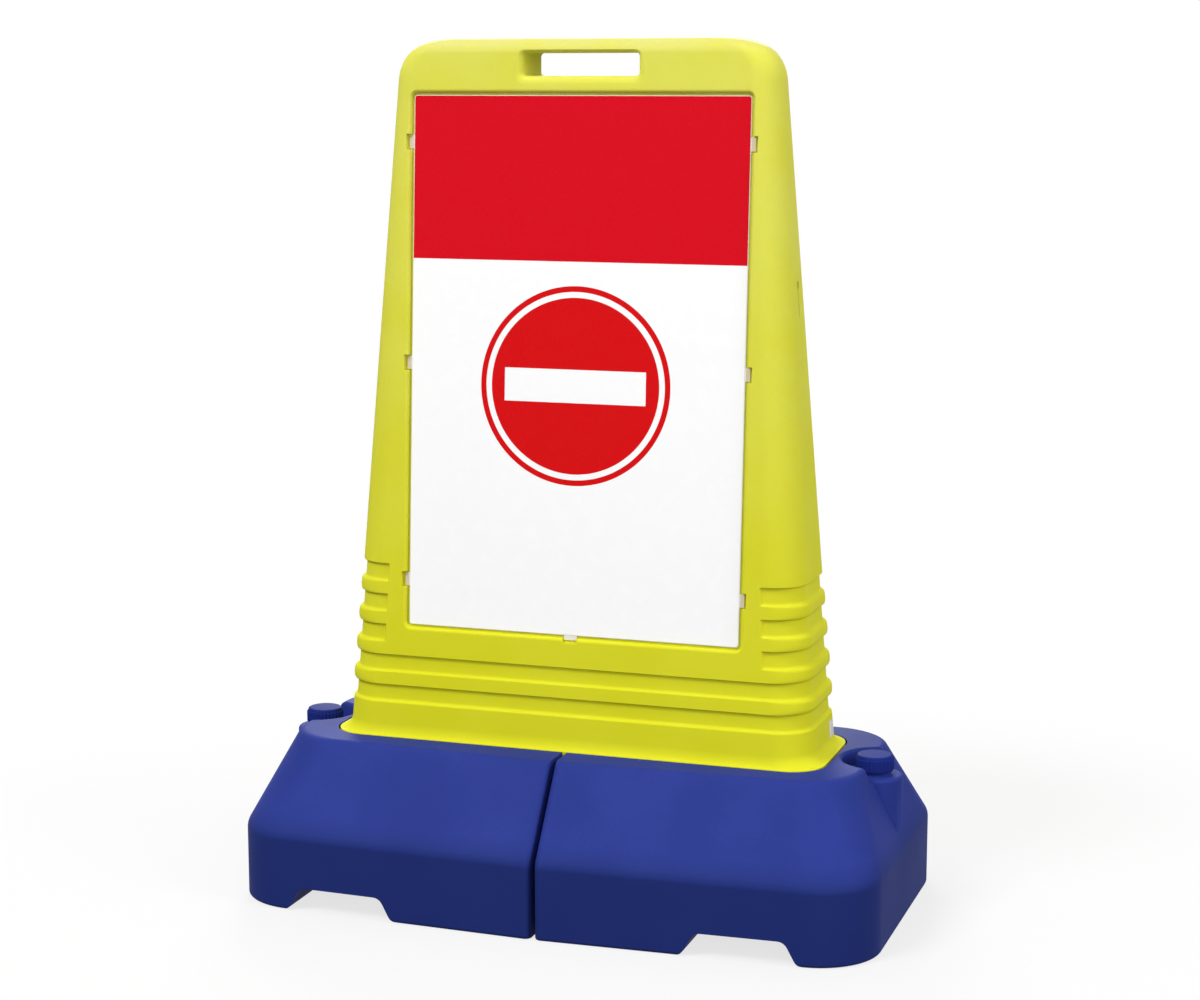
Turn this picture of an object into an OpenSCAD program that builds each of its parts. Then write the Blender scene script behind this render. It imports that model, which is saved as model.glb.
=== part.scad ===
// Freestanding plastic sign: a hollow tapered body with a seated face plate, standing in two
// hollow ballast tanks that close round its foot from the left and from the right.
// Millimetres. X runs along the sign, Y to its back, Z up, origin on the floor at the centre.

/* [Face plate] */
// Width of the plate
plate_w = 442; // [420:1:450]
// Height of the plate along its slope
plate_h = 678; // [600:1:800]
// Thickness of the plate
plate_t = 2; // [1.5:0.1:3]
// Corner radius of the plate
plate_r = 4; // [2:0.5:8]
// Thickness of the printed film on the plate
film_t = 0.3; // [0.2:0.05:0.5]
// Plain border of the plate round the film
film_border = 1; // [0.5:0.5:5]
// Length of an ear along the plate's edge
ear_l = 17; // [12:1:24]
// How far an ear stands out of the plate's edge
ear_reach = 6; // [4:0.5:8]
// Distance between neighbouring ears up a side
ear_pitch = 280; // [240:5:300]

/* [Body] */
// Height of the body between the tanks' deck and the plate
plinth_h = 147; // [130:1:180]
// Height of the head above the plate
head_h = 68; // [66:1:90]
// Width of the body beside the plate, at the top of the body
side_frame = 27.5; // [24:0.5:40]
// How much further each side stands out at the deck than at the top
side_spread = 67; // [50:1:90]
// Depth of the body at its top
top_d = 77; // [70:1:100]
// How much further each face stands out at the deck than at the top
face_spread = 53; // [35:1:60]
// Plan corner radius at the top
top_r = 32; // [24:1:36]
// Plan corner radius at the deck
foot_r = 50; // [40:1:60]
// Radius of the two upper corners in front view
crown_r = 50; // [40:1:60]
// Radius of the top edge in side view
crown_edge_r = 18; // [14:1:22]
// Wall thickness of the body
body_wall = 3.5; // [3:0.1:4]

/* [Plate recess] */
// How far the plate's face lies behind the body's face
plate_setback = 4.5; // [3:0.5:6]
// Gap between the plate's edge and the recess
plate_gap = 3; // [1:0.5:4]
// Rounding of the recess's edge
recess_edge_r = 4.5; // [2:0.5:6]
// Extra length of an ear's notch at each end of the ear
notch_gap = 1.5; // [0.5:0.5:3]
// Extra reach of an ear's notch past the ear
notch_reach = 3.5; // [1:0.5:4]

/* [Hand hole] */
// Width of the hand hole
hole_w = 152; // [120:2:180]
// Height of the hand hole
hole_h = 28.5; // [28:0.5:36]
// Thickness of the grip bar above the hand hole
grip_t = 17.5; // [13:0.5:20]
// Corner radius of the hand hole
hole_r = 5; // [3:0.5:10]
// Rounding of the hand hole's rims
hole_flare = 9; // [4:0.5:12]

/* [Chain keyholes] */
// Height of the round hole below the top of the sign
keyhole_drop = 301; // [240:1:340]
// Diameter of the round hole
keyhole_d = 11; // [8:0.5:14]
// Width of the slot below the round hole
keyslot_w = 3; // [2:0.5:5]
// Distance from the hole's centre to the slot's lower end
keyslot_l = 40; // [25:1:50]

/* [Grooves] */
// Number of grooves round the foot of the body
groove_count = 5; // [3:1:6]
// Number of grooves, from the lowest, that run all the way round
full_groove_count = 2; // [1:1:2]
// Height of the lowest groove's lower edge above the deck
groove_first = 45; // [36:1:50]
// Distance between neighbouring grooves
groove_pitch = 39.5; // [36:0.5:44]
// Height of a groove
groove_h = 21.5; // [16:0.5:24]
// Depth of a groove
groove_depth = 4; // [2:0.5:5]
// Distance from the plate's edge to where the shorter grooves begin
groove_start = 33.5; // [30:0.5:36]
// How far the bands between the grooves bulge
band_bulge = 0.8; // [0:0.1:1.5]

/* [Foot of the body] */
// How far the foot flange stands out at the sides
flange_side = 12; // [8:0.5:14]
// How far the foot flange stands out at the faces
flange_face = 6.5; // [5:0.5:10]
// Thickness of the foot flange
flange_t = 12; // [8:0.5:16]
// Height of the curved flare above the flange
flare_h = 15; // [10:0.5:20]
// Length of the ledge under the flange at the sides
plug_step_side = 27; // [20:0.5:32]
// Length of the ledge under the flange at the faces
plug_step_face = 19.5; // [14:0.5:24]
// How deep the foot reaches below the deck
plug_depth = 99.7; // [80:0.1:105]
// Depth of the locking groove round the foot
lock_depth = 8; // [5:0.5:10]
// Height of the locking groove
lock_h = 17; // [12:0.5:20]
// Distance from the deck down to the locking groove
lock_drop = 43; // [36:0.5:48]

/* [Tanks] */
// Height of the tanks' deck
tank_h = 207; // [196:1:226]
// Height of the upright skirt
skirt_h = 97; // [80:1:110]
// Distance from the foot flange to the tank's end
end_reach = 93; // [90:0.5:120]
// Distance from the foot flange to the tank's front
front_reach = 131; // [110:1:160]
// How far the deck's end lies in from the skirt
deck_end_inset = 44; // [36:0.5:48]
// How far the deck's front lies in from the skirt
deck_front_inset = 80; // [60:1:88]
// Plan corner radius of the skirt
skirt_r = 82; // [70:1:100]
// Plan corner radius of the deck
deck_r = 74; // [60:1:80]
// How much less deep a tank is at its outer end
end_taper = 11.5; // [0:0.5:14]
// Gap between the two tanks
seam_gap = 6.6; // [3:0.2:10]
// Radius of the upright edges at the seam
seam_r = 8; // [6:0.5:14]
// Length of the rounding at the skirt's crease and the deck's edge
tank_edge = 6; // [4:0.5:10]
// Rounding of the bottom edge
tank_foot_r = 5; // [4:0.5:9]
// Wall thickness of the tanks
tank_wall = 3.5; // [3:0.1:4]

/* [Leg channels] */
// Distance from the seam plane to the channel's centre
channel_x = 262.5; // [250:0.5:275]
// Width at the floor
channel_w = 145; // [130:1:160]
// Height
channel_h = 30.5; // [24:0.5:36]
// How much a channel narrows from the floor to its roof, at each side
channel_draft = 16.5; // [12:0.5:24]
// Rounding of the channel's corners
channel_r = 11; // [6:0.5:13]

/* [Filler neck and cap] */
// Distance from the tank's end to the cap's axis
cap_inset = 41.5; // [39:0.5:44]
// Diameter of the cap
cap_d = 49; // [46:0.5:52]
// Height of the cap
cap_h = 21; // [18:0.5:24]
// How far the cap's top stands above the deck
cap_rise = 5; // [2:0.5:8]
// Wall of the cap
cap_wall = 2.7; // [2.4:0.1:3]
// Number of grip ribs round the cap
cap_ribs = 30; // [20:1:40]
// Height of a grip rib out of the cap's side
rib_h = 0.9; // [0.5:0.1:1.2]
// Thread clearance between the cap and the neck
thread_gap = 0.6; // [0.4:0.1:1]
// Wall of the neck
neck_wall = 2.8; // [2:0.1:3.5]
// Thickness of the sealing ring
seal_t = 2.6; // [2:0.1:3]
// Radius of the boss that carries the neck
boss_r = 36; // [34:0.5:38]
// Depth of the boss's top below the deck
boss_drop = 23; // [20:0.5:26]
// Radius of the finger pocket round the cap
pocket_r = 52; // [49:0.5:54]
// Distance from the cap's axis to the pocket's centre, towards the end
pocket_shift = 11; // [8:0.5:13]
// Rounding of the pocket's rim
pocket_rim = 5; // [4.5:0.5:6]

/* [Fits] */
// Gap between faces that rest on each other
seat_gap = 0.3; // [0.2:0.1:0.5]
// Gap round the foot inside the tanks
foot_gap = 1.5; // [1:0.1:2]
// Gap round the flange in the deck
flange_gap = 2; // [1:0.1:3]
// Play of the locking tongue in its groove
lock_gap = 1.2; // [0.8:0.1:1.5]
// Gap between the plate and what lies against it
plate_seat = 0.1; // [0.05:0.05:0.2]

/* [Hidden] */
$fn = 72;
over = 10;
corner_steps = 6;
tank_corner_steps = 10;
seam_steps = 3;
edge_steps = 4;
crown_steps = 9;

yellow = [0.86, 0.86, 0.25];
white = [0.95, 0.95, 0.95];
blue = [0.2, 0.22, 0.55];
black = [0.1, 0.1, 0.1];

sign_h = tank_h + plinth_h + plate_h + head_h;
body_h = sign_h - tank_h;
top_hx = plate_w / 2 + side_frame;
top_hy = top_d / 2;
face_tilt = atan(face_spread / body_h);
plate_mid_z = tank_h + plinth_h + plate_h * cos(face_tilt) / 2;
plate_floor = plate_setback + plate_t + film_t + plate_seat;
groove_x = plate_w / 2 + groove_start;
groove_wall = 1.5;
foot_hx = top_hx + side_spread;
foot_hy = top_hy + face_spread;
flange_hx = foot_hx + flange_side;
flange_hy = foot_hy + flange_face;
flange_r = foot_r - flange_side / 2;
plug_hx = flange_hx - plug_step_side;
plug_hy = flange_hy - plug_step_face;
plug_r = flange_r - flange_gap;
plug_bottom = tank_h - plug_depth;
plug_edge = 5;
lock_top = tank_h - lock_drop;
lock_bottom = lock_top - lock_h;

base_hx = flange_hx + end_reach;
base_hy = flange_hy + front_reach;
slope_wall_share = 1.25;
edge_wall_share = 0.3;
well_floor = plug_bottom - seat_gap;
ledge_z = tank_h - flange_t - seat_gap;
cap_x = base_hx - cap_inset;
boss_top = tank_h - boss_drop;
boss_edge = 5;
cap_top = tank_h + cap_rise;
cap_bottom = cap_top - cap_h;
cap_r = cap_d / 2;
cap_top_t = 2.5;
cap_edge = 1.5;
cap_bore_r = cap_r - rib_h - cap_wall;
neck_r = cap_bore_r - thread_gap;
neck_bore_r = neck_r - neck_wall;
neck_top = cap_top - cap_top_t - seal_t - 2 * seat_gap;
hole_mid = sign_h - grip_t - hole_h / 2;
keyhole_z = sign_h - keyhole_drop;

function mix(a, b, share) = a + (b - a) * share;

// Places on a curved edge that runs from a to c and is drawn towards b.
function bend(a, b, c, share) = mix(mix(a, b, share), mix(b, c, share), share);

function arc(cx, cy, r, from, to, steps) =
    [for (i = [0 : steps]) let (t = mix(from, to, i / steps)) [cx + r * cos(t), cy + r * sin(t)]];

function rounded_outline(hx, hy, r, steps) = concat(
    arc(hx - r, hy - r, r, 0, 90, steps),
    arc(r - hx, hy - r, r, 90, 180, steps),
    arc(r - hx, r - hy, r, 180, 270, steps),
    arc(hx - r, r - hy, r, 270, 360, steps));

function at_height(outline, z) = [for (p = outline) [p[0], p[1], z]];

// A closed skin over outlines that all have the same number of points.
module loft(rings) {
    n = len(rings[0]);
    last = (len(rings) - 1) * n;
    polyhedron(
        points = [for (ring = rings) each ring],
        faces = concat(
            [[for (i = [0 : n - 1]) i]],
            [for (j = [0 : len(rings) - 2], i = [0 : n - 1])
                [j * n + i, (j + 1) * n + i, (j + 1) * n + (i + 1) % n]],
            [for (j = [0 : len(rings) - 2], i = [0 : n - 1])
                [j * n + i, (j + 1) * n + (i + 1) % n, j * n + (i + 1) % n]],
            [[for (i = [n - 1 : -1 : 0]) last + i]]));
}

// Tapers of the body's upper part: half width, half depth and plan radius by height.
function down_share(z) = (sign_h - z) / body_h;
function body_hx(z) = top_hx + side_spread * down_share(z);
function body_hy(z) = top_hy + face_spread * down_share(z);
function body_r(z) = mix(top_r, foot_r, down_share(z));

// An outline of the body, cut in by side_cut past the start of the shorter grooves and by
// mid_cut between them.
function body_outline(hx, hy, r, side_cut, mid_cut) =
    let (x = hx - side_cut, y = hy - side_cut, mid = hy - mid_cut, cr = r - side_cut,
         gx = min(groove_x, x - cr - 2 * groove_wall), ex = gx + groove_wall)
    concat(
        arc(x - cr, y - cr, cr, 0, 90, corner_steps), [[ex, y], [gx, mid], [-gx, mid], [-ex, y]],
        arc(cr - x, y - cr, cr, 90, 180, corner_steps),
        arc(cr - x, cr - y, cr, 180, 270, corner_steps), [[-ex, -y], [-gx, -mid], [gx, -mid], [ex, -y]],
        arc(x - cr, cr - y, cr, 270, 360, corner_steps));

function body_ring(z, side_cut, mid_cut) =
    at_height(body_outline(body_hx(z), body_hy(z), body_r(z), side_cut, mid_cut), z);

function foot_ring(z, hx, hy, r) = at_height(body_outline(hx, hy, r, 0, 0), z);

// One groove, as shares of its height and its depth: a soft lower lip, a flat bottom and a sharp
// step at the top. The band above it bulges halfway to the next groove.
groove_shares = [[-0.14, 0], [0, 0.35], [0.14, 1], [0.95, 1], [1, 0]];
function groove_rings(g) =
    let (low = tank_h + groove_first + g * groove_pitch, full = g < full_groove_count)
    concat(
        [for (p = groove_shares)
            body_ring(low + p[0] * groove_h, p[1] * groove_depth, full ? p[1] * groove_depth : 0)],
        g < groove_count - 1
            ? [body_ring(low + (groove_h + groove_pitch) / 2, -band_bulge, full ? -band_bulge : 0)]
            : []);

// The flare is a quarter of an ellipse that runs from the wall out to the flange.
function flare_share(step) = 1 - sin(90 * step / edge_steps);
function flare_rise(step) = flare_h * (1 - cos(90 * step / edge_steps));

// How far a rounded edge of radius r has drawn in at a given depth below its top.
function edge_inset(r, below) = below > r ? 0 : r - sqrt(r * r - (r - below) * (r - below));

function crown_rings(wall, steps) = [for (i = [0 : steps])
    let (angle = 90 * i / steps, r = crown_r - wall, below = r - r * sin(angle),
         z = sign_h - wall - below, dx = r - r * cos(angle), dy = edge_inset(crown_edge_r - wall, below))
    at_height(body_outline(body_hx(z) - wall - dx, body_hy(z) - wall - dy,
                           body_r(z) - wall - dy, 0, 0), z)];

module body_outside() {
    loft(concat(
        [foot_ring(plug_bottom, plug_hx - plug_edge, plug_hy - plug_edge, plug_r - plug_edge),
         foot_ring(plug_bottom + plug_edge, plug_hx, plug_hy, plug_r),
         foot_ring(lock_bottom, plug_hx, plug_hy, plug_r),
         foot_ring(lock_bottom, plug_hx - lock_depth, plug_hy - lock_depth, plug_r - lock_depth),
         foot_ring(lock_top, plug_hx - lock_depth, plug_hy - lock_depth, plug_r - lock_depth),
         foot_ring(lock_top, plug_hx, plug_hy, plug_r),
         foot_ring(tank_h - flange_t, plug_hx, plug_hy, plug_r),
         foot_ring(tank_h - flange_t, flange_hx, flange_hy, flange_r)],
        [for (i = [0 : edge_steps])
            let (z = tank_h + flare_rise(i), out = flare_share(i))
            foot_ring(z, body_hx(z) + flange_side * out, body_hy(z) + flange_face * out,
                      mix(body_r(z), flange_r, out))],
        [for (g = [0 : groove_count - 1]) each groove_rings(g)],
        crown_rings(0, crown_steps)));
}

// The hollow inside the body, with its wall, the grooves' depth and the foot's lock kept off it.
module body_hollow() {
    grooves_top = tank_h + groove_first + (groove_count - 1) * groove_pitch + groove_h;
    low_cut = groove_depth + body_wall;
    plug_in = body_wall + plug_edge / 2;
    lock_in = lock_depth + body_wall;
    difference() {
        loft(concat(
            [for (p = [[plug_bottom + body_wall, plug_in], [lock_bottom - lock_in, plug_in],
                       [lock_bottom - body_wall, lock_in], [lock_top + body_wall, lock_in],
                       [lock_top + lock_in, plug_in], [tank_h - flange_t, plug_in]])
                foot_ring(p[0], plug_hx - p[1], plug_hy - p[1], plug_r - p[1])],
            [for (p = [[tank_h + flare_h, low_cut], [grooves_top, low_cut],
                       [grooves_top + low_cut, body_wall]])
                foot_ring(p[0], body_hx(p[0]) - p[1], body_hy(p[0]) - p[1], body_r(p[0]) - p[1])],
            crown_rings(body_wall, edge_steps)));
        both_faces() recess_block(body_wall);
        hand_hole_sleeve();
    }
}

// Moves a drawing from the XY plane onto the front face, with Y up the slope and Z outwards.
module on_face() {
    translate([0, -body_hy(plate_mid_z), plate_mid_z]) rotate([90 - face_tilt, 0, 0]) children();
}

module both_faces() {
    on_face() children();
    mirror([0, 1, 0]) on_face() children();
}

// One copy at each ear's place on the plate's edge, drawn with +X outwards.
module at_ears() {
    for (side = [0, 180], row = [-1, 0, 1])
        rotate([0, 0, side]) translate([plate_w / 2, row * ear_pitch, 0]) children();
    translate([0, -plate_h / 2, 0]) rotate([0, 0, -90]) children();
}

module plate_recess() {
    hx = plate_w / 2 + plate_gap;
    hy = plate_h / 2 + plate_gap;
    r = plate_r + plate_gap;
    notch_l = ear_l + 2 * notch_gap;
    translate([0, 0, -plate_floor])
        linear_extrude(height = plate_floor + over) {
            polygon(rounded_outline(hx, hy, r, corner_steps));
            at_ears() translate([-over, -notch_l / 2])
                square([over + ear_reach + notch_reach, notch_l]);
        }
    loft([for (i = [0 : edge_steps])
        let (angle = 90 * i / edge_steps, out = recess_edge_r * (1 - cos(angle)),
             depth = recess_edge_r * (1 - sin(angle)), top = i == edge_steps ? over : 0)
        at_height(rounded_outline(hx + out, hy + out, r + out, corner_steps), top - depth)]);
}

// The space behind and round the recess that the hollow keeps clear of.
module recess_block(wall) {
    reach = ear_reach + notch_reach + wall;
    translate([-plate_w / 2 - reach, -plate_h / 2 - reach, -plate_floor - wall])
        cube([plate_w + 2 * reach, plate_h + 2 * reach, plate_floor + wall + over]);
}

// The hand hole runs through along Y, and its rims open out at both faces.
module hand_hole() {
    face = body_hy(hole_mid);
    rim = [for (i = [0 : edge_steps]) let (angle = 90 * i / edge_steps)
        [face - hole_flare * (1 - sin(angle)), hole_flare * (1 - cos(angle))]];
    places = concat(
        [[-face - over, hole_flare]],
        [for (i = [edge_steps : -1 : 0]) [-rim[i][0], rim[i][1]]],
        rim,
        [[face + over, hole_flare]]);
    translate([0, 0, hole_mid]) rotate([90, 0, 0])
        loft([for (p = places)
            at_height(rounded_outline(hole_w / 2 + p[1], hole_h / 2 + p[1], hole_r + p[1], corner_steps),
                      p[0])]);
}

module hand_hole_sleeve() {
    wide = hole_w + 2 * (hole_flare + body_wall);
    below = hole_h / 2 + hole_flare + body_wall;
    translate([-wide / 2, -body_hy(hole_mid), hole_mid - below])
        cube([wide, 2 * body_hy(hole_mid), below + hole_h / 2 + grip_t]);
}

module chain_keyholes() {
    long = 2 * foot_hx;
    translate([-long / 2, 0, keyhole_z]) rotate([0, 90, 0]) cylinder(d = keyhole_d, h = long);
    translate([-long / 2, -keyslot_w / 2, keyhole_z - keyslot_l])
        cube([long, keyslot_w, keyslot_l]);
}

module body_shell() {
    color(yellow) difference() {
        body_outside();
        body_hollow();
        both_faces() plate_recess();
        hand_hole();
        chain_keyholes();
    }
}

module sign_plate() {
    color(white) on_face() translate([0, 0, -plate_setback - film_t - plate_t])
        linear_extrude(height = plate_t) {
            polygon(rounded_outline(plate_w / 2, plate_h / 2, plate_r, corner_steps));
            at_ears() translate([-over, -ear_l / 2]) square([over + ear_reach, ear_l]);
        }
}

module face_film() {
    color(white) on_face() translate([0, 0, -plate_setback - film_t + plate_seat / 2])
        linear_extrude(height = film_t)
            polygon(rounded_outline(plate_w / 2 - film_border, plate_h / 2 - film_border,
                                    plate_r - film_border, corner_steps));
}

// One tank, on the +X side. The other is the same moulding turned half round.

// Height, inset of the end and inset of the front along the tank's outside.
function slope_point(share) = [mix(skirt_h, tank_h, share), deck_end_inset * share,
                               deck_front_inset * share];
function foot_profile() = [for (i = [0 : edge_steps - 1])
    let (angle = 90 * i / edge_steps, inset = tank_foot_r * (1 - sin(angle)))
    [tank_foot_r * (1 - cos(angle)), inset, inset]];
function crease_profile() = [for (i = [0 : edge_steps])
    bend([skirt_h - tank_edge, 0, 0], [skirt_h, 0, 0], slope_point(tank_edge / (tank_h - skirt_h)),
         i / edge_steps)];
function deck_profile() = [for (i = [0 : edge_steps])
    bend(slope_point(1 - tank_edge / (tank_h - skirt_h)), slope_point(1),
         [tank_h, deck_end_inset + tank_edge, deck_front_inset + tank_edge], i / edge_steps)];

function tank_outline(end_in, front_in, wall, r) =
    let (x0 = seam_gap / 2 + wall, x1 = base_hx - end_in - wall,
         y0 = base_hy - front_in - wall, y1 = y0 - end_taper, s = max(seam_r - wall, wall))
    concat(
        arc(x1 - r, y1 - r, r, 0, 90, tank_corner_steps), arc(x0 + s, y0 - s, s, 90, 180, seam_steps),
        arc(x0 + s, s - y0, s, 180, 270, seam_steps),
        arc(x1 - r, r - y1, r, 270, 360, tank_corner_steps));

function tank_ring(p, wall) =
    at_height(tank_outline(p[1], p[2], wall,
                           mix(skirt_r, deck_r, min(p[1] / deck_end_inset, 1)) - wall), p[0]);

module tank_outside() {
    loft([for (p = concat(foot_profile(), crease_profile(), deck_profile())) tank_ring(p, 0)]);
}

module tank_inside() {
    share = (tank_h - tank_wall - skirt_h) / (tank_h - skirt_h);
    edge = tank_wall * slope_wall_share - tank_wall + tank_edge * edge_wall_share;
    loft([for (p = [[tank_wall, tank_foot_r, tank_foot_r], [tank_foot_r + tank_wall, 0, 0],
                    [skirt_h - tank_edge * edge_wall_share, 0, 0],
                    slope_point(share) + [0, edge, edge]])
        tank_ring(p, tank_wall)]);
}

// Outline of a leg channel in front view, about its own middle. It starts below the floor.
function channel_outline(grow) =
    let (w = channel_w / 2 + grow, t = w - channel_draft, h = channel_h + grow,
         lean = atan(h / channel_draft), cut = channel_r * tan(lean / 2))
    concat(
        [[0, -over], [w + cut, -over]],
        arc(w + cut, channel_r, channel_r, 270, 270 - lean, edge_steps),
        arc(t - cut, h - channel_r, channel_r, 90 - lean, 90, edge_steps),
        arc(cut - t, h - channel_r, channel_r, 90, 90 + lean, edge_steps),
        arc(-w - cut, channel_r, channel_r, 270 + lean, 270, edge_steps),
        [[-w - cut, -over]]);

module leg_channel(grow) {
    long = base_hy + over;
    translate([channel_x, long, 0]) rotate([90, 0, 0]) linear_extrude(height = 2 * long)
        polygon(channel_outline(grow));
}

// A straight-sided block over the rounded outline of the foot, grown by gap.
module foot_block(hx, hy, r, gap, from, to) {
    translate([0, 0, from]) linear_extrude(height = to - from)
        polygon(rounded_outline(hx + gap, hy + gap, r + gap, corner_steps));
}

// The space for the body's foot: the well, its locking tongue and the rebate for the flange.
module foot_socket() {
    tongue_bottom = lock_bottom + lock_gap;
    tongue_top = lock_top - lock_gap;
    tongue_in = lock_depth - lock_gap;
    foot_block(plug_hx, plug_hy, plug_r, foot_gap, well_floor, tongue_bottom);
    foot_block(plug_hx, plug_hy, plug_r, foot_gap - tongue_in, well_floor, tank_h);
    foot_block(plug_hx, plug_hy, plug_r, foot_gap, tongue_top, tank_h);
    foot_block(flange_hx, flange_hy, flange_r, flange_gap, ledge_z, tank_h + over);
}

module foot_socket_walls() {
    foot_block(plug_hx, plug_hy, plug_r, foot_gap + tank_wall, well_floor - tank_wall, tank_h);
    foot_block(flange_hx, flange_hy, flange_r, flange_gap + tank_wall, ledge_z - tank_wall,
               tank_h + over);
    translate([flange_hx, -boss_r, boss_top - tank_wall])
        cube([cap_x - flange_hx, 2 * boss_r, boss_drop + tank_wall + over]);
}

// The finger pocket round the cap, with a rounded rim.
module cap_pocket(wall) {
    translate([cap_x + pocket_shift, 0, 0]) rotate_extrude() polygon(concat(
        [[0, tank_h + over], [0, boss_top - wall], [pocket_r + wall, boss_top - wall]],
        arc(pocket_r + pocket_rim, tank_h - pocket_rim, pocket_rim - wall, 180, 90, edge_steps),
        [[pocket_r + pocket_rim, tank_h + over]]));
}

module boss() {
    rotate_extrude() polygon(concat(
        [[0, skirt_h], [boss_r, skirt_h]],
        arc(boss_r - boss_edge, boss_top - boss_edge, boss_edge, 0, 90, edge_steps),
        [[0, boss_top]]));
    translate([0, 0, skirt_h]) cylinder(r = neck_r, h = neck_top - skirt_h);
}

module tank() {
    difference() {
        union() {
            difference() {
                tank_outside();
                cap_pocket(0);
            }
            translate([cap_x, 0, 0]) boss();
        }
        difference() {
            tank_inside();
            foot_socket_walls();
            cap_pocket(tank_wall);
            leg_channel(tank_wall);
        }
        translate([cap_x, 0, skirt_h])
            cylinder(r = boss_r - tank_wall, h = boss_top - tank_wall - skirt_h);
        translate([cap_x, 0, skirt_h]) cylinder(r = neck_bore_r, h = tank_h - skirt_h);
        foot_socket();
        leg_channel(0);
    }
}

// One rib and the hollow beside it, as shares of the pitch and of the rib's height.
rib_shares = [[0, 0], [0.4, 0], [0.5, 1], [0.9, 1]];
function rib_outline(root, tip, count) = [
    for (i = [0 : count - 1], p = rib_shares)
        let (t = 360 * (i + p[0]) / count, r = mix(root, tip, p[1])) [r * cos(t), r * sin(t)]];

module cap() {
    root = cap_r - rib_h;
    difference() {
        union() {
            rotate_extrude() polygon(concat(
                [[0, cap_bottom], [root, cap_bottom]],
                arc(root - cap_edge, cap_top - cap_edge, cap_edge, 0, 90, edge_steps),
                [[0, cap_top]]));
            translate([0, 0, cap_bottom + cap_edge])
                linear_extrude(height = cap_h - 3 * cap_edge)
                    polygon(rib_outline(root - rib_h / 2, cap_r, cap_ribs));
        }
        translate([0, 0, cap_bottom - over])
            cylinder(r = cap_bore_r, h = cap_h - cap_top_t + over);
    }
}

module seal() {
    translate([0, 0, neck_top + seat_gap]) difference() {
        cylinder(r = cap_bore_r - seat_gap, h = seal_t);
        translate([0, 0, -over]) cylinder(r = neck_bore_r, h = seal_t + 2 * over);
    }
}

module tank_right() {
    color(blue) tank();
}

module tank_left() {
    color(blue) rotate([0, 0, 180]) tank();
}

module cap_right() {
    color(blue) translate([cap_x, 0, 0]) cap();
}

module cap_left() {
    color(blue) translate([-cap_x, 0, 0]) rotate([0, 0, 180]) cap();
}

module seal_right() {
    color(black) translate([cap_x, 0, 0]) seal();
}

module seal_left() {
    color(black) translate([-cap_x, 0, 0]) seal();
}

body_shell();
sign_plate();
face_film();
tank_left();
tank_right();
seal_left();
seal_right();
cap_left();
cap_right();
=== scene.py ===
import bmesh
import bpy
import math
from mathutils import Matrix, Vector


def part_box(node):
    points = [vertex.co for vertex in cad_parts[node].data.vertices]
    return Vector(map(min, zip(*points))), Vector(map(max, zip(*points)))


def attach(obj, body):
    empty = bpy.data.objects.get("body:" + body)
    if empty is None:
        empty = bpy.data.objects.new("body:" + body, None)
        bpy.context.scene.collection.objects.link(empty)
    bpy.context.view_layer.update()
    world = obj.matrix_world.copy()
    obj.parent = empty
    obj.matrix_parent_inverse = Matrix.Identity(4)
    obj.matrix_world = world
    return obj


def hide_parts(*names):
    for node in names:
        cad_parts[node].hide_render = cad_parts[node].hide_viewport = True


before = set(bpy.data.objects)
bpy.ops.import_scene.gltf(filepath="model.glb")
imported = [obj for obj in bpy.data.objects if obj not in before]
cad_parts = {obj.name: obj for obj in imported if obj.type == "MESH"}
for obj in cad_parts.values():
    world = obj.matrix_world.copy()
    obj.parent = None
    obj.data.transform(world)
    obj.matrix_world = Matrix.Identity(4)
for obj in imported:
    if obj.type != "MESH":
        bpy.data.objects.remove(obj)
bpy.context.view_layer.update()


def boxOf(node):  # a node's lowest and highest corner, in millimetres
    return [corner * 1000 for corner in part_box(node)]


bodyLow, bodyHigh = boxOf("body_shell")
tankLow, tankHigh = boxOf("tank_right")
capLow, capHigh = boxOf("cap_right")
sealLow, sealHigh = boxOf("seal_right")
deck = tankHigh.z
signTop = bodyHigh.z
print("frame loaded, sign height", round(signTop), "mm")

# Mesh helpers. Pieces are built in millimetres and scaled to metres when they are finished.


def mix(a, b, share):
    return a + (b - a) * share


def bend(a, b, c, steps):  # a curved corner from a to c, drawn towards b
    a, b, c = Vector(a), Vector(b), Vector(c)
    return [mix(mix(a, b, i / steps), mix(b, c, i / steps), i / steps) for i in range(steps + 1)]


def softLine(points, steps=5):  # each point is its coordinates and then how far its corner is rounded
    soft = []
    for i, (*place, cut) in enumerate(points):
        here = Vector(place)
        if cut == 0 or i in (0, len(points) - 1):
            soft.append(here)
            continue
        back = Vector(points[i - 1][:-1]) - here
        ahead = Vector(points[i + 1][:-1]) - here
        soft += bend(here + back.normalized() * min(cut, back.length * 0.49), here,
                     here + ahead.normalized() * min(cut, ahead.length * 0.49), steps)
    return soft


def cornerSeats(steps):  # seats round a rounded rectangle: side of the corner's centre, direction from it
    return [(sx, sy, math.cos(t), math.sin(t))
            for sx, sy, start in ((1, 1, 0), (-1, 1, 90), (-1, -1, 180), (1, -1, 270))
            for t in (math.radians(start + 90 * i / steps) for i in range(steps + 1))]


def roundedRing(hx, hy, r, z, steps):
    return [(sx * (hx - r) + dx * r, sy * (hy - r) + dy * r, z) for sx, sy, dx, dy in cornerSeats(steps)]


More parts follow.
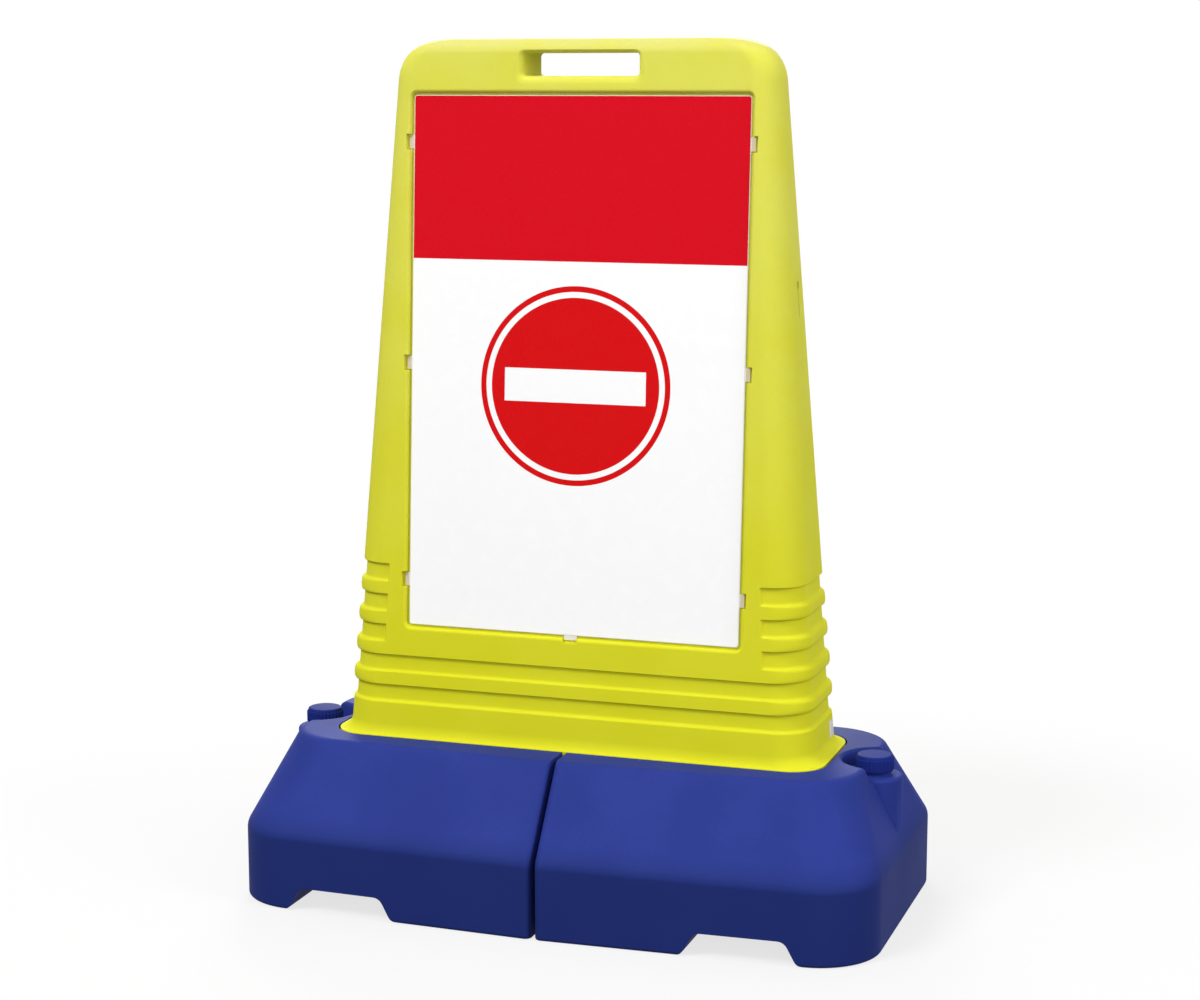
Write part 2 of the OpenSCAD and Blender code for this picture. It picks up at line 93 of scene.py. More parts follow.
def stack(rings):  # a closed skin: a capped circle is set on the first ring and extruded from ring to ring
    bm = bmesh.new()
    bmesh.ops.create_circle(bm, cap_ends=True, segments=len(rings[0]), radius=1)
    bm.verts.ensure_lookup_table()
    ring = list(bm.verts)
    for i, places in enumerate(rings):
        if i:
            edges = [bm.edges.get((ring[k - 1], ring[k])) for k in range(len(ring))]
            grown = bmesh.ops.extrude_edge_only(bm, edges=edges)["geom"]
            fresh = {v for v in grown if isinstance(v, bmesh.types.BMVert)}
            ring = [next(e.other_vert(v) for e in v.link_edges if e.other_vert(v) in fresh) for v in ring]
        for v, place in zip(ring, places):
            v.co = place
    bmesh.ops.contextual_create(bm, geom=[bm.edges.get((ring[k - 1], ring[k])) for k in range(len(ring))])
    return tidy(bm)


def tidy(bm):  # closes doubles and poles and turns the faces outwards
    bmesh.ops.remove_doubles(bm, verts=bm.verts, dist=0.002)
    bm.normal_update()
    bmesh.ops.recalc_face_normals(bm, faces=bm.faces)
    return bm


def turned(profile, centre=(0, 0), segments=96):  # spins (radius, height) points round an upright axis
    bm = bmesh.new()
    verts = [bm.verts.new((centre[0] + r, centre[1], z)) for r, z in profile]
    edges = [bm.edges.new(pair) for pair in zip(verts, verts[1:])]
    bmesh.ops.spin(bm, geom=verts + edges, cent=(*centre, 0), axis=(0, 0, 1), angle=math.tau,
                   steps=segments, use_merge=True)
    return tidy(bm)


def block(size, centre, edge=0, segments=3):  # a box, with all its edges rounded when edge is given
    bm = bmesh.new()
    bmesh.ops.create_cube(bm, size=1, matrix=Matrix.Translation(centre) @ Matrix.Diagonal((*size, 1)))
    if edge:
        bmesh.ops.bevel(bm, geom=bm.edges[:], offset=edge, affect="EDGES", segments=segments,
                        profile=0.5, material=-1)
    return bm


def joined(*parts):  # several meshes as one
    whole = bmesh.new()
    for part in parts:
        kept = bpy.data.meshes.new("part")
        part.to_mesh(kept)
        part.free()
        whole.from_mesh(kept)
        bpy.data.meshes.remove(kept)
    return whole


def moved(bm, matrix):
    bmesh.ops.transform(bm, matrix=matrix, verts=bm.verts)
    return bm


def asObject(bm, name):
    mesh = bpy.data.meshes.new(name)
    bm.to_mesh(mesh)
    bm.free()
    obj = bpy.data.objects.new(name, mesh)
    bpy.context.scene.collection.objects.link(obj)
    return obj


def settle(obj):  # makes the modifiers' result the mesh
    shaped = obj.evaluated_get(bpy.context.evaluated_depsgraph_get())
    mesh = bpy.data.meshes.new_from_object(shaped)
    obj.modifiers.clear()
    obj.data = mesh
    return obj


def closeSlits(obj):  # a cut can drop a triangle without width, and the slit it leaves upsets the next cut
    bm = bmesh.new()
    bm.from_mesh(obj.data)
    rim = [edge for edge in bm.edges if len(edge.link_faces) == 1]
    if rim:
        bmesh.ops.holes_fill(bm, edges=rim, sides=8)
        bm.to_mesh(obj.data)
    bm.free()


def combine(obj, cutter, operation="DIFFERENCE"):
    tool = asObject(cutter, "tool")
    step = obj.modifiers.new("combine", "BOOLEAN")
    step.operation = operation
    step.object = tool
    step.solver = "EXACT"
    settle(obj)
    closeSlits(obj)
    bpy.data.objects.remove(tool)
    return obj


def finishPiece(obj, name, body, material, replaced=(), angle=32):
    obj.name = name
    obj.data.transform(Matrix.Scale(0.001, 4))
    obj.data.shade_smooth()
    obj.data.set_sharp_from_angle(angle=math.radians(angle))
    obj.data.materials.clear()
    obj.data.materials.append(material)
    weigh = obj.modifiers.new("weigh", "WEIGHTED_NORMAL")
    weigh.keep_sharp = True
    weigh.weight = 100
    settle(obj)
    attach(obj, body)
    if replaced:
        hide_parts(*replaced)
    print(name, "has", len(obj.data.polygons), "faces")
    return obj


# Shader helpers


class Wire:  # a socket that takes part in Python expressions
    def __init__(self, tree, socket=None):
        self.tree = tree
        self.socket = socket

    def node(self, kind, settings=None, values=None, out=0):  # any node: settings first, then its sockets
        made = self.tree.nodes.new(kind)
        for key, setting in (settings or {}).items():
            if key == "stops":
                while len(made.color_ramp.elements) < len(setting):
                    made.color_ramp.elements.new(0.5)
                for element, (position, shade) in zip(made.color_ramp.elements, setting):
                    element.position = position
                    element.color = shade
            else:
                setattr(made, key, setting)
        for key, value in (values or {}).items():
            if isinstance(value, Wire):
                self.tree.links.new(value.socket, made.inputs[key])
            else:
                made.inputs[key].default_value = value
        return Wire(self.tree, made.outputs[out] if made.outputs else None)

    def maths(self, operation, *values):
        return self.node("ShaderNodeMath", {"operation": operation}, dict(enumerate(values)))

    def __add__(self, other):
        return self.maths("ADD", self, other)

    def __sub__(self, other):
        return self.maths("SUBTRACT", self, other)

    def __rsub__(self, other):
        return self.maths("SUBTRACT", other, self)

    def __mul__(self, other):
        return self.maths("MULTIPLY", self, other)

    def __truediv__(self, other):
        return self.maths("DIVIDE", self, other)

    __radd__ = __add__
    __rmul__ = __mul__

    def smooth(self, low, high, start=0.0, end=1.0):  # rises softly from start at low to end at high
        return self.node("ShaderNodeMapRange", {"interpolation_type": "SMOOTHSTEP"},
                         {"Value": self, "From Min": low, "From Max": high, "To Min": start, "To Max": end})

    def blend(self, first, second):  # first colour where this is 0, second where it is 1
        return self.node("ShaderNodeMix", {"data_type": "RGBA"}, {0: self, 6: first, 7: second}, out=2)

    def axes(self):
        parts = self.node("ShaderNodeSeparateXYZ", None, {0: self})
        outputs = parts.socket.node.outputs
        return [Wire(self.tree, outputs[i]) for i in range(3)]

    def noise(self, scale, detail=2.0, roughness=0.5):
        return self.node("ShaderNodeTexNoise", None,
                         {"Vector": self, "Scale": scale, "Detail": detail, "Roughness": roughness})


def linear(red, green, blue):  # a colour as a screen shows it, 0 to 255, as the shader wants it
    def channel(value):
        share = value / 255
        return share / 12.92 if share <= 0.04045 else ((share + 0.055) / 1.055) ** 2.4
    return (channel(red), channel(green), channel(blue), 1)


def newMaterial(name):
    material = bpy.data.materials.new(name)
    material.use_nodes = True
    material.node_tree.nodes.clear()
    return material, Wire(material.node_tree)


def finishMaterial(material, start, values, bumps=()):  # bumps are pairs of height and depth in metres
    normal = None
    for height, depth in bumps:
        sockets = {"Height": height, "Distance": depth, "Strength": 1.0}
        if normal:
            sockets["Normal"] = normal
        normal = start.node("ShaderNodeBump", None, sockets)
    if normal:
        values = {**values, "Normal": normal}
    surface = start.node("ShaderNodeBsdfPrincipled", None, values)
    start.node("ShaderNodeOutputMaterial", None, {"Surface": surface})
    return material


# Moulded plastic: a fine grain from the mould, a slow ripple of the wall, faint clouds in the colour, and bands of
# painted light, lighter or paler at some heights

plastics = {
    "signYellow": {"colour": (214, 213, 44), "deep": (209, 206, 26), "roughness": 0.55, "shine": 0.02,
                   # painted sheen: paler from 0.25 m up, and a painted reflection, paler still, along the top edge
                   "glow": 0.3, "bands": ((0.25, 1.0, (218, 217, 94)), (1.076, 1.098, (208, 205, 124))),
                   "grain": 0.00002, "ripple": 0.0003, "cloud": 0.35},
    "tankBlue": {"colour": (33, 47, 111), "deep": (26, 39, 100), "roughness": 0.6, "shine": 0.04, "glow": 0,
                 # painted light: lighter from 85 mm up, so the slopes and deck are lit and the skirt below stays
                 # darker
                 "bands": ((0.085, 0.125, (44, 58, 138)),), "grain": 0.00012, "ripple": 0.0004, "cloud": 0.2},
    "capBlue": {"colour": (33, 46, 124), "deep": (24, 37, 108), "roughness": 0.5, "shine": 0.01, "glow": 0,
                "bands": (), "grain": 0.00003, "ripple": 0.0, "cloud": 0.4},
}


def mouldedPlastic(name):
    look = plastics[name]
    material, start = newMaterial(name)
    place = start.node("ShaderNodeTexCoord", out=3)
    clouds = place.noise(9, 3).smooth(0.35, 0.7)
    specks = place.noise(700, 2).smooth(0.3, 0.75)
    plain = linear(*look["colour"])
    for low, high, other in look["bands"]:  # painted light: the colour turns lighter or paler between two heights, where more light or sheen falls
        plain = place.axes()[2].smooth(low, high).blend(plain, linear(*other))
    shade = (clouds * look["cloud"] + specks * 0.2).blend(plain, linear(*look["deep"]))
    grain = place.noise(620, 3, 0.6)
    ripple = place.noise(16, 1)
    roughness = place.noise(5, 2).smooth(0.3, 0.7, look["roughness"] - 0.03, look["roughness"] + 0.04)
    bumps = [(ripple, look["ripple"])] if look["ripple"] else []
    return finishMaterial(material, start, {"Base Color": shade, "Roughness": roughness,
                                            "Specular IOR Level": look["shine"],
                                            "Subsurface Weight": look["glow"], "Subsurface Scale": 0.006,
                                            "Subsurface Radius": (1, 0.9, 0.15)},
                          bumps + [(grain, look["grain"])])


signYellow = mouldedPlastic("signYellow")
tankBlue = mouldedPlastic("tankBlue")
capBlue = mouldedPlastic("capBlue")
print("moulded plastics ready")

# The body: a tapered shell with grooves round its foot

body = {
    "topHalf": (248.5, 38.5), "topCorner": 32,  # half width, half depth and plan radius at the top
    "deckHalf": (315.5, 91.5), "deckCorner": 50,  # the same at the height of the deck
    "plugHalf": (300.5, 78.5), "plugCorner": 42,  # the foot inside the tanks
    "plugEdge": 6, "flangeUnder": 195, "flangeCorner": 44, "flareHeight": 15,
    "lockFrom": 147, "lockTo": 164, "lockDepth": 8,
    "grooves": 5, "fullGrooves": 2, "firstGroove": 45, "groovePitch": 39.5, "grooveHeight": 21.5,
    "grooveDepth": 4, "grooveStart": 254.5, "grooveEnd": 3.2, "bulge": (2.4, 1.2),  # lowest and highest band
    "crown": 50, "crownEdge": 18, "cornerSteps": 16,
    "hollow": ((128, 15, 15, False), (200, 15, 15, False),  # height, end wall, face wall, follows the taper
               (deck + 30, 8, 16, True), (signTop - 660, 8, 16, True),
               (signTop - 640, 3.5, 14, True), (signTop - 70, 3.5, 14, True)),
    "hollowCorner": (24, 40),  # in the foot and above it
}
taper = [body["deckHalf"][i] - body["topHalf"][i] for i in (0, 1)]
tilt = math.atan(taper[1] / (signTop - deck))


def halfX(z):
    return body["topHalf"][0] + taper[0] * (signTop - z) / (signTop - deck)


def halfY(z):
    return body["topHalf"][1] + taper[1] * (signTop - z) / (signTop - deck)


def cornerAt(z):
    return mix(body["topCorner"], body["deckCorner"], (signTop - z) / (signTop - deck))


def bodySeats():  # corner seats, with seats between them where a groove ends on a face; the last is its share
    ends = [1, 0.88, 0.5, 0.12, 0]
    seats = []
    for i, seat in enumerate(cornerSeats(body["cornerSteps"])):
        corner, step = divmod(i, body["cornerSteps"] + 1)
        if step == 0 and corner in (1, 3):
            seats += [(seat[0], seat[1], end) for end in reversed(ends)]
        seats.append(seat)
        if step == body["cornerSteps"] and corner in (0, 2):
            seats += [(seat[0], seat[1], end) for end in ends]
    return seats


seats = bodySeats()


def bodyRing(z, hx, hy, r, sideCut=0, midCut=0):  # a cut below nothing stands out, most at the sides
    ring = []
    start = min(body["grooveStart"], hx - r - 2 * body["grooveEnd"])
    for seat in seats:
        if len(seat) == 4:
            sx, sy, dx, dy = seat
            away = r - (sideCut if sideCut > 0 else sideCut * abs(dx))
            ring.append((sx * (hx - r) + dx * away, sy * (hy - r) + dy * away, z))
        else:
            sx, sy, share = seat
            ring.append((sx * (start + share * body["grooveEnd"]),
                         sy * (hy - mix(midCut, max(sideCut, 0), share)), z))
    return ring


def wallRing(z, sideCut=0, midCut=0):
    return bodyRing(z, halfX(z), halfY(z), cornerAt(z), sideCut, midCut)


def footRings():  # points are height, cut and how far out towards the flange
    reach = bodyHigh.x - body["plugHalf"][0]
    side = bodyHigh.y - body["plugHalf"][1]
    depth = body["lockDepth"]
    line = softLine([
        (bodyLow.z, body["plugEdge"], 0, 0), (bodyLow.z, 0, 0, body["plugEdge"]),
        (body["lockFrom"], 0, 0, 1.5), (body["lockFrom"], depth, 0, 1.5),
        (body["lockTo"], depth, 0, 1.5), (body["lockTo"], 0, 0, 1.5),
        (body["flangeUnder"], 0, 0, 1.5), (body["flangeUnder"], 0, reach, 1.5), (deck, 0, reach, 0)])
    rings = []
    for z, cut, out in line:
        share = out / reach
        rings.append(bodyRing(z, body["plugHalf"][0] + out - cut, body["plugHalf"][1] + side * share - cut,
                              mix(body["plugCorner"], body["flangeCorner"], share) - cut))
    return rings


def flareRings(steps=12):
    rings = []
    for i in range(1, steps + 1):
        angle = math.radians(90 * i / steps)
        z = deck + body["flareHeight"] * (1 - math.cos(angle))
        out = 1 - math.sin(angle)
        rings.append(bodyRing(z, halfX(z) + (bodyHigh.x - body["deckHalf"][0]) * out,
                              halfY(z) + (bodyHigh.y - body["deckHalf"][1]) * out,
                              mix(cornerAt(z), body["flangeCorner"], out)))
    return rings


def grooveRings():  # from the middle of one band to the middle of the next
    h, depth = body["grooveHeight"], body["grooveDepth"]
    half = (body["groovePitch"] - h) / 2
    bulges = [mix(*body["bulge"], g / (body["grooves"] - 1)) for g in range(body["grooves"])]
    rings = []
    for g in range(body["grooves"]):
        low = deck + body["firstGroove"] + g * body["groovePitch"]
        full = g < body["fullGrooves"]
        last = g == body["grooves"] - 1
        above = 0 if last else -bulges[g]
        below = -bulges[g - 1] if g else 0
        line = softLine([(low - half, below, 0), (low - 4, below * 0.9, 2), (low - 1.6, below * 0.3, 1.6),
                         (low + 1, depth, 1.8), (low + h - 0.6, depth, 1.2), (low + h, 0, 1.2),
                         (low + h + 3.5, above * 0.9, 2.5), (low + h + half, above, 0)])
        rings += [wallRing(z, cut, max(cut, 0) if full else 0) for z, cut in line[1 if g else 0:]]
    return rings


def crownRings(steps=22):
    rings = []
    for i in range(steps + 1):
        angle = math.radians(90 * i / steps)
        below = body["crown"] * (1 - math.sin(angle))
        z = signTop - below
        edge = body["crownEdge"]
        dy = edge - math.sqrt(edge ** 2 - (edge - below) ** 2) if below < edge else 0
        rings.append(bodyRing(z, halfX(z) - body["crown"] * (1 - math.cos(angle)) - dy, halfY(z) - dy,
                              cornerAt(z) - dy))
    return rings


def bodyHollow():  # the space inside, seen through the keyholes
    rings = []
    for z, side, face, free in body["hollow"]:
        hx = halfX(z) if free else body["plugHalf"][0]
        hy = halfY(z) if free else body["plugHalf"][1]
        r = min(body["hollowCorner"][free], hy - face)
        rings.append(roundedRing(hx - side, hy - face, r, z, 8))
    return stack(rings)


faceMiddle = deck + 147 + 678 * math.cos(tilt) / 2  # height of the plate's centre
onFront = (Matrix.Translation((0, -halfY(faceMiddle), faceMiddle))
           @ Matrix.Rotation(math.pi / 2 - tilt, 4, "X"))  # X across, Y up the slope, Z out of the face
onBack = Matrix.Rotation(math.pi, 4, "Z") @ onFront

plate = {"size": (442, 678), "thickness": 2, "corner": 4, "setback": 4.5, "film": 0.3, "border": 1,
         "ear": (17, 6), "earPitch": 280, "gap": 3, "lip": 4.5, "notchPast": (1.5, 3.5), "floor": 6.9,
         "notchFloor": 6.85, "sheetEdge": 0.4, "filmEdge": 0.1, "filmSink": 0.05}


def earPlaces():  # the middle of each ear's root and the turn that takes +X outwards
    places = [(side * plate["size"][0] / 2, row * plate["earPitch"], 0 if side > 0 else math.pi)
              for side in (1, -1) for row in (-1, 0, 1)]
    return places + [(0, -plate["size"][1] / 2, -math.pi / 2)]


def atEar(bm, place):
    return moved(bm, Matrix.Translation((place[0], place[1], 0)) @ Matrix.Rotation(place[2], 4, "Z"))


def recessTool():
    hx, hy = (side / 2 + plate["gap"] for side in plate["size"])
    r = plate["corner"] + plate["gap"]
    lip = plate["lip"]
    rings = [roundedRing(hx, hy, r, -plate["floor"], 8)]
    for i in range(9):
        angle = math.radians(90 * i / 8)
        out = lip * (1 - math.cos(angle))
        rings.append(roundedRing(hx + out, hy + out, r + out, -lip * (1 - math.sin(angle)), 8))
    rings.append(roundedRing(hx + lip, hy + lip, r + lip, 12, 8))
    return stack(rings)


def notchTool():
    length = plate["ear"][0] + 2 * plate["notchPast"][0]
    reach = plate["ear"][1] + plate["notchPast"][1]
    blocks = [atEar(block((reach + 10, length, 30), (reach / 2 - 5, 0, 15 - plate["notchFloor"]), 1.2), place)
              for place in earPlaces()]
    return joined(*blocks)


handHole = {"half": (76, 14.25), "corner": 5, "flare": 9, "gripBar": 17.5}


def handHoleTool():
    middle = signTop - handHole["gripBar"] - handHole["half"][1]
    face = halfY(middle)
    flare = handHole["flare"]
    mouth = [(face - flare * (1 - math.sin(t)), flare * (1 - math.cos(t)))
             for t in (math.radians(90 * i / 10) for i in range(11))] + [(face + 12, flare)]
    stations = [(-y, grow) for y, grow in reversed(mouth)] + mouth
    (hx, hy), r = handHole["half"], handHole["corner"]
    rings = [roundedRing(hx + grow, hy + grow, r + grow, y, 10) for y, grow in stations]
    return moved(stack(rings), Matrix.Translation((0, 0, middle)) @ Matrix.Rotation(math.pi / 2, 4, "X"))


keyhole = {"drop": 301, "radius": 5.5, "slot": (3, 40)}


def keyholeTools():
    height = signTop - keyhole["drop"]
    reach = body["deckHalf"][0]
    r = keyhole["radius"]
    hole = turned([(0, -reach), (r, -reach), (r, reach), (0, reach)], segments=40)
    hole = moved(hole, Matrix.Translation((0, 0, height)) @ Matrix.Rotation(math.pi / 2, 4, "Y"))
    width, length = keyhole["slot"]
    slot = block((2 * reach, width, length), (0, 0, height - length / 2))
    return hole, slot


def makeBody():
    shell = asObject(stack(footRings() + flareRings() + grooveRings() + crownRings()), "shell")
    combine(shell, handHoleTool())
    combine(shell, joined(*[tidy(moved(recessTool(), place)) for place in (onFront, onBack)]))
    combine(shell, joined(*[tidy(moved(notchTool(), place)) for place in (onFront, onBack)]))
    combine(shell, bodyHollow())
    for tool in keyholeTools():
        combine(shell, tool)
    return finishPiece(shell, "signBody", "sign_body", signYellow, ["body_shell"])


makeBody()

# A blank label on the side of the body, near its back corner

label = {"from": (290, 27, 220), "to": (325, 62, 241), "thick": 0.25}


def makeLabel():
    thick = label["thick"]
    low, high = Vector(label["from"]), Vector(label["to"])
    skins = [stack([bodyRing(z, halfX(z) + out, halfY(z) + out, cornerAt(z) + out)
                    for z in (low.z - grow, high.z + grow)]) for out, grow in ((thick, 0), (-1, 5))]
    patch = asObject(block(high - low, (low + high) / 2), "patch")
    combine(patch, skins[0], "INTERSECT")
    combine(patch, skins[1])
    material, start = newMaterial("labelWhite")
    place = start.node("ShaderNodeTexCoord", out=3)
    shade = place.noise(60, 3).smooth(0.3, 0.7).blend(linear(226, 224, 222), linear(206, 203, 204))
    finishMaterial(material, start, {"Base Color": shade, "Roughness": 0.45, "Specular IOR Level": 0.2})
    return finishPiece(patch, "sideLabel", "sign_body", material)


makeLabel()

# The plate, with seven ears, and the printed film on it


def makePlate():
    hx, hy = (side / 2 for side in plate["size"])
    top = -plate["setback"] - plate["film"]
    low, r, edge = top - plate["thickness"], plate["corner"], plate["sheetEdge"]
    sheet = stack([roundedRing(hx - cut, hy - cut, r - cut, z, 6)
                   for z, cut in ((low, edge), (low + edge, 0), (top - edge, 0), (top, edge))])
    length, reach = plate["ear"]
    root, earThickness = 8, plate["thickness"] - 0.1  # how far an ear runs into the sheet
    ear = (reach + root, length, earThickness), ((reach - root) / 2, 0, mix(low, top, 0.5)), edge
    ears = [atEar(block(*ear), place) for place in earPlaces()]
    sheet = asObject(moved(sheet, onFront), "sheet")
    combine(sheet, moved(joined(*ears), onFront), "UNION")
    return sheet


def makeFilm():
    hx, hy = (side / 2 - plate["border"] for side in plate["size"])
    r = plate["corner"] - plate["border"]
    edge = plate["filmEdge"]
    low = -plate["setback"] - plate["film"] + plate["filmSink"]
    top = low + plate["film"]
    rings = [roundedRing(hx - cut, hy - cut, r - cut, z, 6) for z, cut in ((low, 0), (top - edge, 0), (top, edge))]
    return asObject(moved(stack(rings), onFront), "film")


def plateMaterial():
    material, start = newMaterial("plateWhite")
    place = start.node("ShaderNodeTexCoord", out=3)
    clouds = place.noise(14, 2).smooth(0.3, 0.7)
    shade = clouds.blend(linear(232, 230, 222), linear(222, 220, 210))
    x = place.axes()[0]
    # painted shade: the side ears, sunk in their notches, are darkened to a shaded beige
    ears = x.maths("ABSOLUTE", x).smooth(0.2212, 0.2222)
    shade = ears.blend(shade, linear(208, 194, 168))
    roughness = place.noise(30, 2).smooth(0.3, 0.7, 0.3, 0.38)
    return finishMaterial(material, start, {"Base Color": shade, "Roughness": roughness,
                                            "Specular IOR Level": 0.2}, [(place.noise(500, 2), 0.00001)])


printing = {  # heights on the face and distances from its middle, in metres
    "red": (211, 3, 26), "roundelRed": (211, 7, 12), "white": (249, 249, 249),
    "headerFrom": 0.8252, "centre": 0.6697, "ring": 0.1255, "ringIn": 0.1183, "disc": 0.111,
    "bar": (0.0935, 0.021), "edge": 0.00025,
}


def printMaterial():
    ink = printing
    material, start = newMaterial("printedFilm")
    place = start.node("ShaderNodeTexCoord", out=3)
    x, y, z = place.axes()
    edge = ink["edge"]
    up = (z - ink["centre"]) / math.cos(tilt)  # distance up the sloping face from the roundel's centre
    away = (x * x + up * up).maths("SQRT", x * x + up * up)
    ring = away.smooth(ink["ringIn"] - edge, ink["ringIn"] + edge) * away.smooth(
        ink["ring"] - edge, ink["ring"] + edge, 1, 0)
    disc = away.smooth(ink["disc"] - edge, ink["disc"] + edge, 1, 0)
    across = x.maths("ABSOLUTE", x).smooth(ink["bar"][0] - edge, ink["bar"][0] + edge, 1, 0)
    along = up.maths("ABSOLUTE", up).smooth(ink["bar"][1] - edge, ink["bar"][1] + edge, 1, 0)
    roundel = ring + disc * (1 - across * along)
    header = z.smooth(ink["headerFrom"] - edge, ink["headerFrom"] + edge)
    shade = roundel.blend(linear(*ink["white"]), linear(*ink["roundelRed"]))
    shade = header.blend(shade, linear(*ink["red"]))
    roughness = place.noise(40, 2).smooth(0.3, 0.7, 0.22, 0.3)
    return finishMaterial(material, start, {"Base Color": shade, "Roughness": roughness,
                                            "Specular IOR Level": 0.12}, [(place.noise(9, 1), 0.000015)])


finishPiece(makePlate(), "facePlate", "sign_body", plateMaterial(), ["sign_plate"])
finishPiece(makeFilm(), "faceFilm", "sign_body", printMaterial(), ["face_film"])

# The ballast tanks: one moulding, used twice

tank = {
    "skirt": 97, "deckInset": (44, 80), "skirtCorner": 80, "deckCorner": 74, "endTaper": 11.5,
    "seam": 3.3, "seamEdge": 8, "crease": 6, "footEdge": 5, "cornerSteps": 24,
    "wellGap": 1.5, "rebateGap": 2, "rimEdge": 1.6, "tongueGap": 1.2, "seat": 0.3,
    "channel": (262.5, 145, 30.5), "channelDraft": 16.5, "channelCorner": 11,
}
neck = {"x": (capLow.x + capHigh.x) / 2, "top": sealLow.z - 0.3, "radius": 20.3, "bore": 17.5,
        "floor": 100, "boss": 36, "bossFoot": 60, "bossTop": 187, "bossEdge": 5,
        "pocket": 52, "pocketShift": 11, "pocketRim": 5,
        "ridge": 0.5, "pitch": 5, "turns": 2.2}


def tankRing(z, endIn, faceIn):
    r = mix(tank["skirtCorner"], tank["deckCorner"], min(endIn / tank["deckInset"][0], 1))
    x1, y0, s = tankHigh.x - endIn, tankHigh.y - faceIn, tank["seamEdge"]
    y1, x0 = y0 - tank["endTaper"], tank["seam"]
    ring = []
    for sx, sy, dx, dy in cornerSeats(tank["cornerSteps"]):
        if sx > 0:
            ring.append((x1 - r + dx * r, sy * (y1 - r) + dy * r, z))
        else:
            ring.append((x0 + s + dx * s, sy * (y0 - s) + dy * s, z))
    return ring


def tankOutside():
    foot, crease = tank["footEdge"], tank["crease"]
    endIn, faceIn = tank["deckInset"]
    rise = deck - tank["skirt"]

    def onSlope(share):
        return tank["skirt"] + rise * share, endIn * share, faceIn * share
    line = [(foot * (1 - math.cos(t)), foot * (1 - math.sin(t)), foot * (1 - math.sin(t)))
            for t in (math.radians(90 * i / 8) for i in range(9))]
    line += bend((tank["skirt"] - crease, 0, 0), onSlope(0), onSlope(crease / rise), 10)
    line += bend(onSlope(1 - crease / rise), onSlope(1), (deck, endIn + crease, faceIn + crease), 12)
    return stack([tankRing(*place) for place in line])


def wellTool():  # the room for the body's foot and flange, with the tongue that holds the foot
    gap, tongue = tank["wellGap"], body["lockDepth"] - tank["tongueGap"]
    lockFrom, lockTo = body["lockFrom"] + tank["tongueGap"], body["lockTo"] - tank["tongueGap"]
    under, rim = body["flangeUnder"] - tank["seat"], tank["rimEdge"]
    (hx, hy), r = body["plugHalf"], body["plugCorner"]

    def foot(grow, z):
        return roundedRing(hx + grow, hy + grow, r + grow, z, 14)

    def flange(grow, z):
        out = tank["rebateGap"] + grow
        return roundedRing(bodyHigh.x + out, bodyHigh.y + out, body["flangeCorner"] + out, z, 14)
    rings = [foot(gap, bodyLow.z - tank["seat"]), foot(gap, lockFrom), foot(gap - tongue, lockFrom),
             foot(gap - tongue, lockTo), foot(gap, lockTo), foot(gap, under), flange(0, under)]
    rings += [flange(rim * (1 - math.cos(t)), deck - rim * (1 - math.sin(t)))
              for t in (math.radians(90 * i / 5) for i in range(6))]
    return stack(rings + [flange(rim, deck + 10)])


def channelOutline(middle, width, height, y):  # starts below the floor
    w, t, r = width / 2, width / 2 - tank["channelDraft"], tank["channelCorner"] * 0.8
    half = [(w + 30, -12, 0), (w + 30, 0, 0), (w, 0, r), (t, height, r), (0, height, 0)]
    right = softLine(half, 6)[:-1]
    return [(middle + a, y, b) for a, b in right] + [(middle - a, y, b) for a, b in reversed(right)]


def channelTool():
    reach = tankHigh.y + 12
    return stack([channelOutline(*tank["channel"], y) for y in (-reach, reach)])


def threadRidge(x):
    height = neck["ridge"]
    bm = bmesh.new()
    low = neck["top"] - 3 - neck["pitch"] * neck["turns"]
    verts = [bm.verts.new((x + neck["radius"] + a, 0, low + b))
             for a, b in ((-0.6, -1.1), (height, -0.35), (height, 0.35), (-0.6, 1.1))]
    start = bm.faces.new(verts)
    steps = round(neck["turns"] * 48)
    bmesh.ops.spin(bm, geom=[start, *start.edges, *start.verts], cent=(x, 0, 0), axis=(0, 0, 1),
                   dvec=(0, 0, neck["pitch"] * neck["turns"] / steps), angle=math.tau * neck["turns"],
                   steps=steps)
    return tidy(bm)


def makeTank(side):
    x = neck["x"]
    wall = asObject(tankOutside(), "wall")
    pocket, rim = neck["pocket"], neck["pocketRim"]
    profile = [(0, neck["bossTop"]), (pocket, neck["bossTop"])]
    profile += [(pocket + rim * (1 - math.cos(t)), deck - rim * (1 - math.sin(t)))
                for t in (math.radians(90 * i / 6) for i in range(7))]
    profile += [(pocket + rim, deck + 15), (0, deck + 15)]
    combine(wall, turned(profile, (x + neck["pocketShift"], 0), 128))
    boss = softLine([(0, neck["bossFoot"], 0), (neck["boss"], neck["bossFoot"], 0),
                     (neck["boss"], neck["bossTop"], neck["bossEdge"]),
                     (neck["radius"], neck["bossTop"], 1), (neck["radius"], neck["top"], 1),
                     (neck["bore"], neck["top"], 0.8), (neck["bore"], neck["floor"], 0),
                     (0, neck["floor"], 0)], 6)
    combine(wall, turned(boss, (x, 0), 96), "UNION")
    combine(wall, threadRidge(x), "UNION")
    bore, low, high = neck["bore"] + 0.05, neck["floor"] + 1, neck["top"] - 1.5  # a hair wider than the neck
    combine(wall, turned([(0, low), (bore, low), (bore, high), (0, high)], (x, 0), 96))
    combine(wall, wellTool())
    combine(wall, channelTool())
    if side < 0:
        wall.data.transform(Matrix.Rotation(math.pi, 4, "Z"))
    word = "right" if side > 0 else "left"
    return finishPiece(wall, word + "Tank", word + "_tank", tankBlue, ["tank_" + word])


makeTank(1)
makeTank(-1)

# The screw caps and the rings that seal them

cap = {"ribs": 30, "rib": 1.4, "valley": 0.4, "ribFrom": 1.5, "ribTo": 17.4,
       "edge": 3.4, "bore": 20.9, "top": 2.5}


